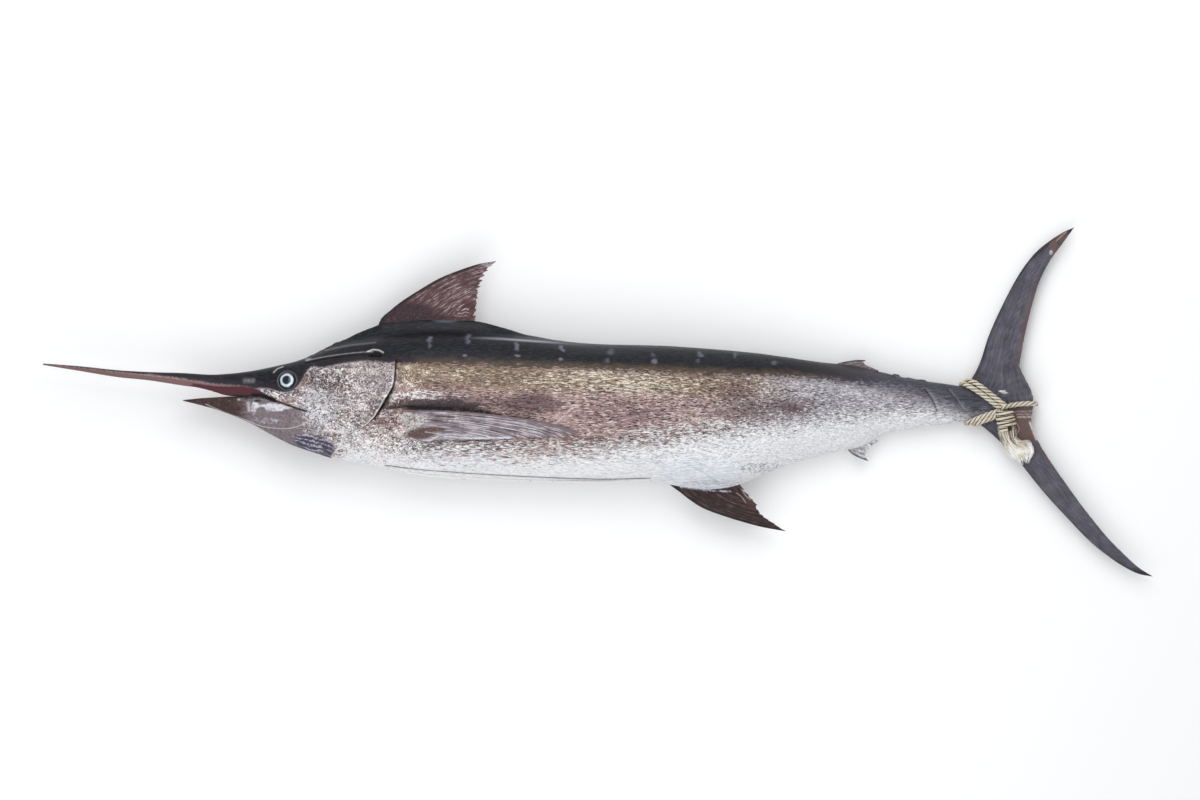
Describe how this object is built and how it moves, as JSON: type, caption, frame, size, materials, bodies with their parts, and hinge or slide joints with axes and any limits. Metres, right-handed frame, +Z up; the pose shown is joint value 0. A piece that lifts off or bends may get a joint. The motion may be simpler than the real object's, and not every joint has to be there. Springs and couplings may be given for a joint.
{
  "type": "blue marlin",
  "caption": "Landed blue marlin, life size, lying on its right side with its bill, folded fins and sickle tail, and rope lashed round the tail.",
  "frame": {"origin": "on the floor under the middle of the fish's overall length and height", "axes": "+X from bill to tail, +Y from belly to back, +Z up out of the fish's left side"},
  "size_m": [2.611, 0.822, 0.2192],
  "materials": {
    "skin": "wet scuffed fish skin, dark back, tan and mauve flank, silver belly",
    "bill": "rough dark skin over bone",
    "fin": "dark membrane over rays",
    "tail": "slate membrane over rays",
    "eye": "clouded wet cornea",
    "rope": "laid three-strand rope, frayed"
  },
  "bodies": {
    "root": {"bill": "bill", "head": "skin", "lower_jaw": "skin", "gill_cover_left": "skin", "gill_cover_right": "skin", "throat_flap_left": "skin", "throat_flap_right": "skin", "eye_left": "eye", "eye_right": "eye", "trunk_front": "skin", "trunk_middle": "skin", "trunk_rear": "skin", "tail_stock": "skin", "dorsal_fin": "fin", "anal_fin": "fin", "second_dorsal_fin": "fin", "second_anal_fin": "fin", "pectoral_fin_left": "fin", "pectoral_fin_right": "fin", "pelvic_fin_left": "fin", "pelvic_fin_right": "fin", "caudal_lobe_upper": "tail", "caudal_lobe_lower": "tail", "rope_lashing": "rope", "rope_frayed_end": "rope"}
  },
  "joints": []
}
